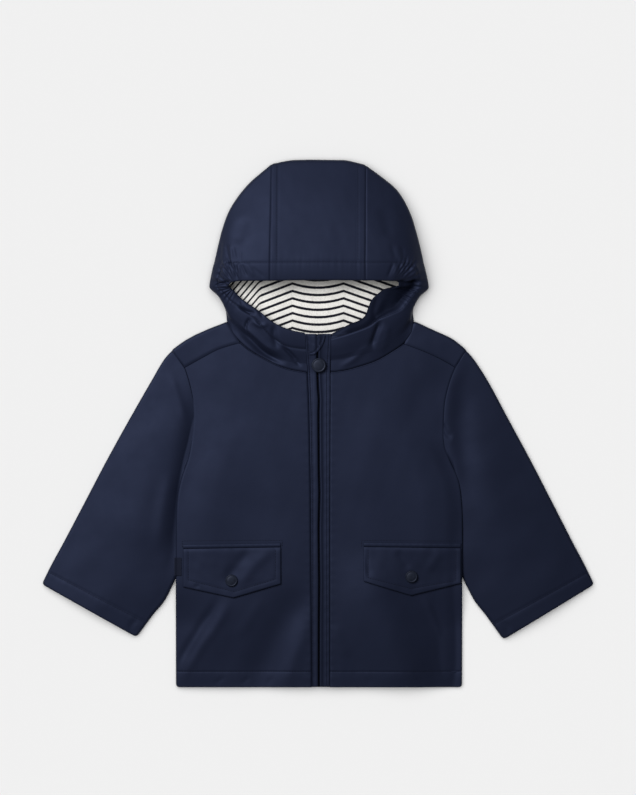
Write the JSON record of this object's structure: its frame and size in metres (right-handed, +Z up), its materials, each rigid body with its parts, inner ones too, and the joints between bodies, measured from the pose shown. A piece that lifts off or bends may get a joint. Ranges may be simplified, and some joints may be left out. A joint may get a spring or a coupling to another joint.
{
  "type": "kids raincoat",
  "caption": "Hooded child's raincoat with zip front, pointed pocket flaps and striped hood lining, laid flat on its back with the crown folded forward.",
  "frame": {"origin": "centre of the bounding box's bottom, on the surface that the coat lies on", "axes": "+Z up from the surface, +Y from the hem to the hood's crown, +X towards the sleeve on the right of someone looking down on the coat"},
  "size_m": [0.6342, 0.606, 0.037],
  "materials": {
    "back": "satin coated cloth",
    "front_left": "satin coated cloth",
    "front_right": "satin coated cloth",
    "yoke_left": "satin coated cloth",
    "yoke_right": "satin coated cloth",
    "sleeve_left": "satin coated cloth",
    "sleeve_right": "satin coated cloth",
    "hood_side_left": "satin coated cloth",
    "hood_side_right": "satin coated cloth",
    "hood_centre": "satin coated cloth",
    "hood_lining_left": "matte striped jersey",
    "hood_lining_right": "matte striped jersey",
    "hood_lining_centre": "matte striped jersey",
    "welt_left": "satin coated cloth",
    "welt_right": "satin coated cloth",
    "zip": "matte woven tape",
    "chin_guard": "satin coated cloth",
    "pocket_welt_left": "satin coated cloth",
    "pocket_welt_right": "satin coated cloth",
    "pocket_flap_left": "satin coated cloth",
    "pocket_flap_right": "satin coated cloth",
    "side_tag": "matte woven ribbon",
    "stud_neck": "satin lacquer",
    "stud_left": "satin lacquer",
    "stud_right": "satin lacquer"
  },
  "bodies": {
    "root": {"back": "back", "front_left": "front_left", "front_right": "front_right", "yoke_left": "yoke_left", "yoke_right": "yoke_right", "sleeve_left": "sleeve_left", "sleeve_right": "sleeve_right", "hood_side_left": "hood_side_left", "hood_side_right": "hood_side_right", "hood_centre": "hood_centre", "hood_lining_left": "hood_lining_left", "hood_lining_right": "hood_lining_right", "hood_lining_centre": "hood_lining_centre", "welt_left": "welt_left", "welt_right": "welt_right", "zip": "zip", "chin_guard": "chin_guard", "pocket_welt_left": "pocket_welt_left", "pocket_welt_right": "pocket_welt_right", "pocket_flap_left": "pocket_flap_left", "pocket_flap_right": "pocket_flap_right", "side_tag": "side_tag", "stud_neck": "stud_neck", "stud_left": "stud_left", "stud_right": "stud_right"}
  },
  "joints": []
}
